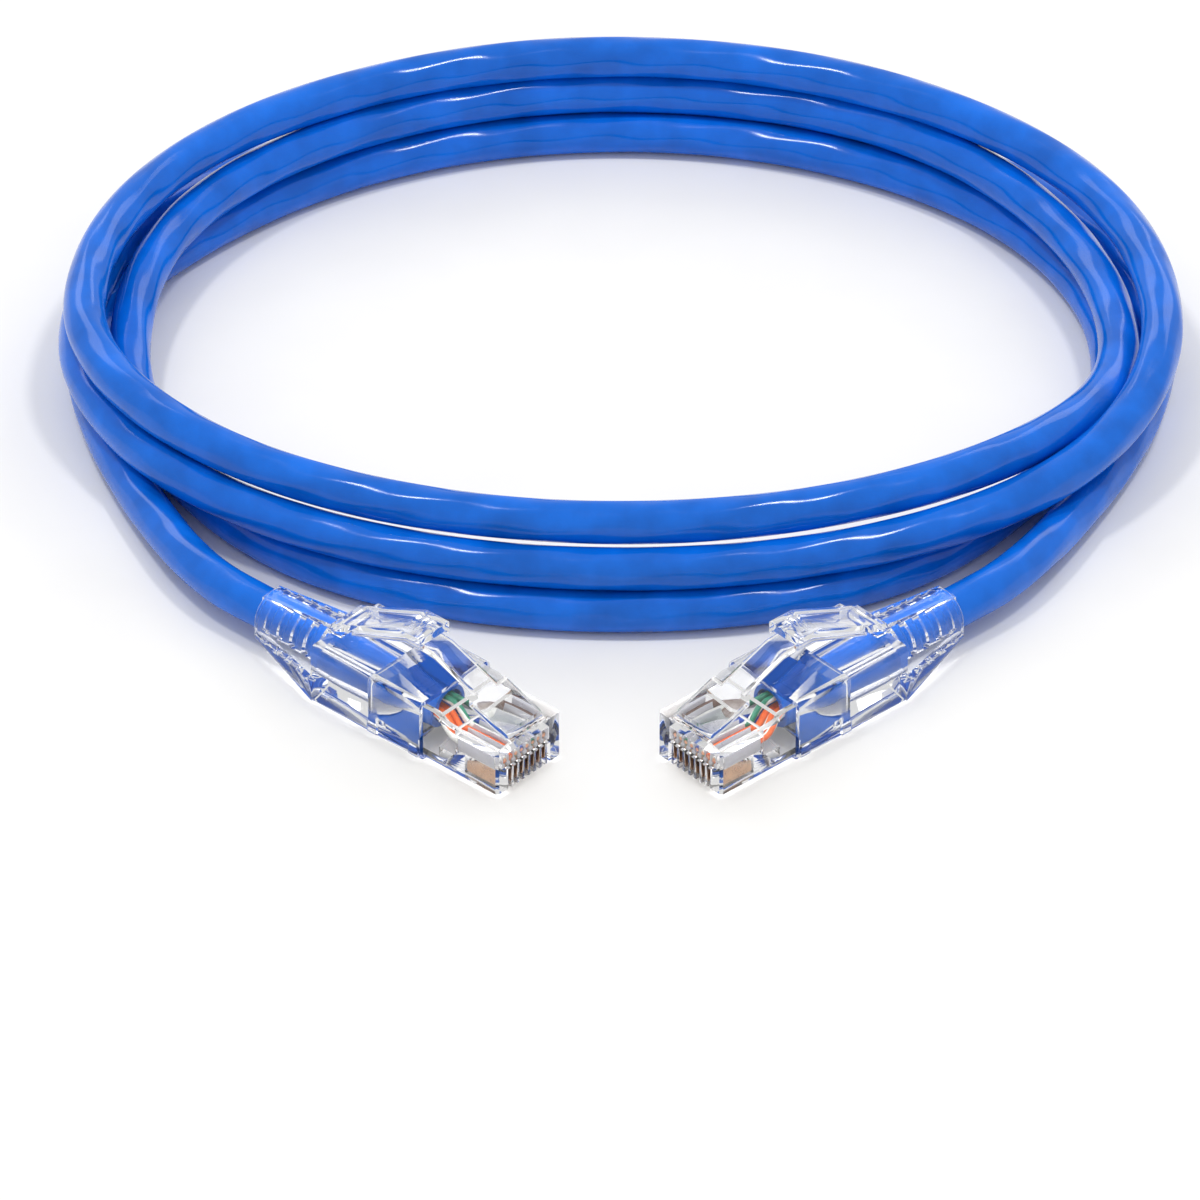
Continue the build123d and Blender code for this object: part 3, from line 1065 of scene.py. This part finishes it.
def moulded(node: str, name: str, edge: float, segments: int,
            material: bpy.types.Material) -> bpy.types.Mesh:
    """Copies a CAD node's shape with the rounded edges of a moulding.

    Args:
        node: the CAD node.
        name: the new mesh's name.
        edge: width of the rounding, in metres.
        segments: segments across it.
        material: its finish.

    Returns:
        The mesh.
    """
    shape = bmesh.new()
    shape.from_mesh(frame["nodes"][node].data)
    bmesh.ops.remove_doubles(shape, verts=shape.verts, dist=WELD)
    bmesh.ops.dissolve_limit(shape, angle_limit=FLAT_ANGLE, verts=shape.verts, edges=shape.edges)
    sharp = {e for e in shape.edges if e.is_manifold and e.calc_face_angle(0.0) > EDGE_ANGLE}
    for face in shape.faces:
        face.smooth = not all(e in sharp for e in face.edges)
    rounded = bmesh.ops.bevel(shape, geom=list(sharp), offset=edge, offset_type="OFFSET", segments=segments,
                              profile=0.5, affect="EDGES", clamp_overlap=True)
    for face in rounded["faces"]:
        face.smooth = True
    bmesh.ops.triangulate(shape, faces=[f for f in shape.faces if len(f.verts) > 4])
    bmesh.ops.recalc_face_normals(shape, faces=shape.faces)
    mesh = bpy.data.meshes.new(name)
    shape.to_mesh(mesh)
    shape.free()
    mesh.set_sharp_from_angle(angle=SHARP_ANGLE)
    mesh.materials.append(material)
    return mesh


# --------------------------------------------------------------------------------------
# The cable
# --------------------------------------------------------------------------------------
def coil_point(angle: float, outward: float, height: float) -> Vector:
    """A point beside the egg.

    Args:
        angle: degrees round the coil.
        outward: millimetres outside the egg.
        height: millimetres above the floor.

    Returns:
        The point in metres.
    """
    turn = math.radians(angle)
    depth = COIL_BACK if math.sin(turn) > 0 else COIL_FRONT
    normal = Vector((math.cos(turn) / COIL_A, math.sin(turn) / depth)).normalized()
    x = COIL_X + COIL_A * math.cos(turn) + normal.x * outward
    y = COIL_Y + depth * math.sin(turn) + normal.y * outward
    return Vector((x, y, height)) * MM


def station_at(angle: float) -> tuple[float, float]:
    """Smooth values between the stations.

    Args:
        angle: degrees round the coil, falling from the first station to the last.

    Returns:
        Millimetres outside the egg, and height in cable diameters.
    """
    i = next(i for i in range(len(STATIONS) - 1) if STATIONS[i][0] >= angle >= STATIONS[i + 1][0])
    a, b = STATIONS[i], STATIONS[i + 1]
    before, after = STATIONS[max(i - 1, 0)], STATIONS[min(i + 2, len(STATIONS) - 1)]
    run = b[0] - a[0]
    u = (angle - a[0]) / run
    values = []
    for k in (1, 2):
        enter = (b[k] - before[k]) / (b[0] - before[0]) * run
        leave = (after[k] - a[k]) / (after[0] - a[0]) * run
        values.append((2 * u**3 - 3 * u * u + 1) * a[k] + (u**3 - 2 * u * u + u) * enter
                      + (3 * u * u - 2 * u**3) * b[k] + (u**3 - u * u) * leave)
    return values[0], values[1]


@dataclass
class Cord:
    """The one cable, from the stripped jacket in the left plug, round the coil, to the right."""

    palette: Palette
    path: Points = field(default_factory=list)

    def control_points(self) -> Points:
        """Returns:
            The spline's control points, in metres.
        """
        left, right = PlugFrame(Side.LEFT), PlugFrame(Side.RIGHT)
        inside = [JACKET_TIP + JACKET_LIP, *INSIDE_PLUG]
        points = [left.point(0, y, CABLE_Z) for y in inside]
        points += [Vector(p) * MM for p in LEG_LEFT]
        angle = STATIONS[0][0]
        while angle >= STATIONS[-1][0]:
            outward, height = station_at(angle)
            points.append(coil_point(angle, outward + SPLINE_CUT, max(height, 0.5) * CABLE_D / MM))
            angle -= COIL_STEP
        points += [Vector(p) * MM for p in reversed(LEG_RIGHT)]
        points += [right.point(0, y, CABLE_Z) for y in reversed(inside)]
        return points

    def lip(self, side: Side) -> bpy.types.Mesh:
        """The hollow end of the stripped jacket.

        Args:
            side: which end.

        Returns:
            Its mesh.
        """
        outer, bore = CABLE_R / MM, (CABLE_R - JACKET_WALL) / MM
        back = JACKET_TIP + JACKET_LIP
        mesh = lathe([(outer, back), (outer, JACKET_TIP + LIP_ROUND), (outer - LIP_ROUND, JACKET_TIP),
                      (bore, JACKET_TIP), (bore, back)], CABLE_Z, 48)
        PlugFrame(side).set_mesh(mesh)
        return mesh

    def build(self) -> bpy.types.Object:
        """Returns:
            The cable.
        """
        self.path = spline_points(self.control_points(), 8)
        covered = (BOOT_END - JACKET_TIP + TWIST_START) * MM

        def swell(at: float, length: float) -> float:
            """The twist fades out towards the boots.

            Args:
                at: metres along the cable.
                length: the cable's whole length.

            Returns:
                The share of the twist that shows there.
            """
            return max(0.0, min(1.0, (min(at, length - at) - covered) / TWIST_FADE))

        material = self.palette.get(Finish.JACKET)
        body = tube("patch_cord", [self.path], CABLE_R, CABLE_SIDES, material, TWIST_HEIGHT, swell)
        mesh = joined("patch_cord", [body, self.lip(Side.LEFT), self.lip(Side.RIGHT)], material)
        piece = shown("patch_cord", mesh)
        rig.ride(piece, "cable")
        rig.replaces(piece, "cable_coil", "cable_leg_left", "cable_leg_right",
                    "jacket_end_left", "jacket_end_right")
        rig.slot(piece, "blue_jacket")
        log.info("cable: %d points, %d faces", len(self.path), len(mesh.polygons))
        return piece

    def length(self) -> float:
        """Returns:
            Length of the cable's path, in metres.
        """
        return sum((b - a).length for a, b in zip(self.path, self.path[1:]))

    def declare(self, piece: bpy.types.Object, far_pieces: Sequence[bpy.types.Object]) -> None:
        """Says that the cable is a free cord between its two plugs.

        Args:
            piece: the cable.
            far_pieces: the pieces of the right plug.
        """
        start = PlugFrame(Side.LEFT).point(0, HOUSING_END, CABLE_Z)
        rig.cord(piece, exit=tuple(start), length=self.length(),
                diameter=CABLE_D, far_end="plug", stiffness="medium", lay="coiled", path=self.path,
                with_pieces=list(far_pieces))
        log.info("cable length %.3f m", self.length())


# --------------------------------------------------------------------------------------
# One plug with its boot
# --------------------------------------------------------------------------------------
@dataclass
class PlugEnd:
    """The plug, boot, latch, hood, wires and contacts of one end."""

    side: Side
    palette: Palette
    pieces: list[bpy.types.Object] = field(default_factory=list)

    def keep(self, name: str, mesh: bpy.types.Mesh, body: str, nodes: Sequence[str], slot: str) -> None:
        """Links a piece and ties it to its body and CAD nodes.

        Args:
            name: the piece's name, without its side.
            mesh: its mesh.
            body: the CAD body, without its side unless it is the cable.
            nodes: the CAD nodes that it replaces, without their side.
            slot: the material slot.
        """
        end = self.side.value
        piece = shown(f"{name}_{end}", mesh)
        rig.ride(piece, body if body == "cable" else f"{body}_{end}")
        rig.replaces(piece, *[f"{node}_{end}" for node in nodes])
        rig.slot(piece, slot)
        self.pieces.append(piece)
        log.info("%s: %d faces", piece.name, len(mesh.polygons))

    def mouldings(self) -> None:
        """Housing, bar, wire guide, latch, boot and hood."""
        rows = [
            ("plug_housing", "housing_shell", 0.12, 2, Finish.HOUSING, "cable", "clear_polycarbonate"),
            ("strain_relief_bar", "clamp_bar", 0.12, 2, Finish.HOUSING, "cable", "clear_polycarbonate"),
            ("wire_guide", "guide_insert", 0.04, 1, Finish.GUIDE, "cable", "guide_plastic"),
            ("latch", "latch_lever", 0.18, 2, Finish.HOUSING, "latch", "clear_polycarbonate"),
            ("boot", "boot_sleeve", 0.18, 2, Finish.BOOT, "cable", "clear_boot"),
            ("hood", "hood_tongue", 0.22, 2, Finish.BOOT, "hood", "clear_boot"),
        ]
        for node, name, edge, segments, finish, body, slot in rows:
            mesh = moulded(f"{node}_{self.side.value}", name, edge * MM, segments, self.palette.get(finish))
            self.keep(name, mesh, body, [node], slot)

    def wire_line(self, pin: int, tip: float) -> Points:
        """Centre line of a wire, from inside the jacket to its cut end in the nose.

        Args:
            pin: its pin, from 0.
            tip: how far behind the nose it ends, in millimetres.

        Returns:
            The points along it.
        """
        wire = WIRES[pin]
        place = PlugFrame(self.side)
        pin_x = (pin - (PIN_COUNT - 1) / 2) * PIN_PITCH
        z = CABLE_Z + wire.above
        middle = (wire.fan_start + wire.fan_end) / 2
        points = [
            (wire.aside, WIRE_BACK, z),
            (wire.aside, wire.fan_start + WIRE_STRAIGHT, z),
            (wire.aside, wire.fan_start, z),
            ((wire.aside + pin_x) / 2 + wire.sway, middle, (z + WIRE_Z) / 2 + wire.lift),
            (pin_x, wire.fan_end, WIRE_Z),
            (pin_x, wire.fan_end - WIRE_STRAIGHT, WIRE_Z),
            (pin_x, tip, WIRE_Z),
        ]
        return spline_points([place.point(*p) for p in points], 12)

    def wires(self) -> None:
        """Insulation of the eight wires, and their cores."""
        for pin, wire in enumerate(WIRES):
            line = self.wire_line(pin, INSULATION_TIP)
            mesh = tube("insulation", [line], WIRE_R, WIRE_SIDES, self.palette.wire(wire))
            name = f"insulation_{wire.name}"
            self.keep(name, mesh, "cable", [f"wire_{wire.name}"], name)
        lines = [self.wire_line(pin, CORE_TIP) for pin in range(PIN_COUNT)]
        mesh = tube("conductors", lines, CORE_R, CORE_SIDES, self.palette.get(Finish.COPPER))
        self.keep("conductors", mesh, "cable", ["wire_cores"], "copper_core")

    def contacts(self) -> None:
        """Eight gold-plated blades in a row."""
        half = 0.18
        bottom = WIRE_Z - 0.5
        tooth = 3.83
        outline = [(0.5, 0.85), (0.62, 0.55), (0.85, 0.40), (1.1, 0.35), (6.2, 0.35), (6.2, bottom),
                   (5.4, bottom), (5.15, tooth), (4.65, bottom), (3.2, bottom), (2.95, tooth),
                   (2.45, bottom), (1.6, bottom), (1.5, 2.8), (0.5, 2.8)]
        shape = bmesh.new()
        sides = []
        for x in (-half, half):
            sides.append([shape.verts.new(Vector((x, y, z)) * MM) for y, z in outline])
        shape.faces.new(sides[0])
        shape.faces.new(list(reversed(sides[1])))
        for i in range(len(outline)):
            j = (i + 1) % len(outline)
            shape.faces.new((sides[0][i], sides[1][i], sides[1][j], sides[0][j]))
        rims = [e for e in shape.edges if e.calc_face_angle(0.0) > 1.0]
        bmesh.ops.bevel(shape, geom=rims, offset=0.04 * MM, offset_type="OFFSET", segments=2,
                        profile=0.5, affect="EDGES", clamp_overlap=True)
        bmesh.ops.triangulate(shape, faces=[f for f in shape.faces if len(f.verts) > 4])
        bmesh.ops.recalc_face_normals(shape, faces=shape.faces)
        blade = bpy.data.meshes.new("blade")
        shape.to_mesh(blade)
        shape.free()
        start = -(PIN_COUNT - 1) / 2 * PIN_PITCH * MM
        mesh = grown("contact_row", blade, repeat_tree(), {
            "Count": PIN_COUNT, "Start": (start, 0.0, 0.0), "Step": (PIN_PITCH * MM, 0.0, 0.0),
            "Material": self.palette.get(Finish.GOLD)})
        PlugFrame(self.side).set_mesh(mesh)
        blades = [f"contact_{i + 1}" for i in range(PIN_COUNT)]
        self.keep("contact_row", mesh, "cable", blades, "gold_contact")

    def build(self) -> list[bpy.types.Object]:
        """Returns:
            Every piece of this end.
        """
        self.mouldings()
        self.wires()
        self.contacts()
        return self.pieces


# --------------------------------------------------------------------------------------
# Studio
# --------------------------------------------------------------------------------------
@dataclass(frozen=True)
class SoftBox:
    """One soft studio lamp, aimed at the middle of the coil."""

    name: str
    place: Point
    width: float
    depth: float
    power: float

    def build(self) -> None:
        """Makes the lamp."""
        light = bpy.data.lights.new(self.name, "AREA")
        light.shape = "RECTANGLE"
        light.size = self.width
        light.size_y = self.depth
        light.energy = self.power
        lamp = bpy.data.objects.new(self.name, light)
        lamp.location = self.place
        aim = Vector((0.0, 0.06, 0.0)) - Vector(self.place)
        lamp.rotation_euler = aim.to_track_quat("-Z", "Y").to_euler()
        bpy.context.scene.collection.objects.link(lamp)


class Studio:
    """Camera, floor, sky and lamps."""

    CAMERA = (-0.00115, -0.9108, 0.6694)
    TILT = math.radians(54.4)
    LENS = 270.96
    SKY = 0.70
    FLOOR_HALF = 2.5
    FLOOR_DROP = 0.02 * MM
    LAMPS = [
        SoftBox("left_key", (-0.31, 0.0, 1.06), 0.12, 0.12, 2.4),
        SoftBox("right_key", (0.31, 0.0, 1.06), 0.12, 0.12, 2.4),
        SoftBox("left_back", (-0.45, 0.90, 0.65), 0.45, 0.45, 1.2),
        SoftBox("right_back", (0.45, 0.90, 0.65), 0.45, 0.45, 1.2),
    ]

    def camera(self) -> None:
        """Makes the camera."""
        data = bpy.data.cameras.new("camera")
        data.lens = self.LENS
        data.sensor_width = 36.0
        data.clip_start = 0.05
        data.clip_end = 20.0
        camera = bpy.data.objects.new("camera", data)
        camera.location = self.CAMERA
        camera.rotation_euler = (self.TILT, 0.0, 0.0)
        bpy.context.scene.collection.objects.link(camera)
        bpy.context.scene.camera = camera

    def surroundings(self, palette: Palette) -> None:
        """Makes the floor, the sky and the lamps.

        Args:
            palette: the finishes.
        """
        mesh = bpy.data.meshes.new("floor")
        corners = [(-1, -1), (1, -1), (1, 1), (-1, 1)]
        mesh.from_pydata([(x * self.FLOOR_HALF, y * self.FLOOR_HALF, -self.FLOOR_DROP) for x, y in corners],
                         [], [(0, 1, 2, 3)])
        mesh.materials.append(palette.get(Finish.FLOOR))
        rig.stage(shown("floor", mesh))
        world = bpy.data.worlds.new("sky")
        world.use_nodes = True
        sky = world.node_tree.nodes["Background"]
        sky.inputs["Color"].default_value = (1.0, 1.0, 1.0, 1.0)
        sky.inputs["Strength"].default_value = self.SKY
        bpy.context.scene.world = world
        for lamp in self.LAMPS:
            lamp.build()
        bpy.context.scene.view_settings.view_transform = "Standard"


def plain_bounds(bounds: tuple) -> list[list[float]]:
    """Args:
        bounds: two corners.

    Returns:
        The corners as plain lists.
    """
    return [[float(v) for v in corner] for corner in bounds]


def main() -> None:
    """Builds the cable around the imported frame."""
    logging.basicConfig(level=logging.INFO, format="%(name)s: %(message)s")
    at_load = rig.bounds()
    studio = Studio()
    palette = Palette()
    studio.camera()
    cord = Cord(palette)
    cable = cord.build()
    ends = {side: PlugEnd(side, palette).build() for side in Side}
    cord.declare(cable, ends[Side.RIGHT])
    studio.surroundings(palette)
    at_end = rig.bounds()
    with open("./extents.json", "w") as file:
        json.dump({"cad": plain_bounds(at_load), "model": plain_bounds(at_end)}, file)
    log.info("CAD %s, model %s", plain_bounds(at_load), plain_bounds(at_end))


if __name__ == "__main__":
    main()
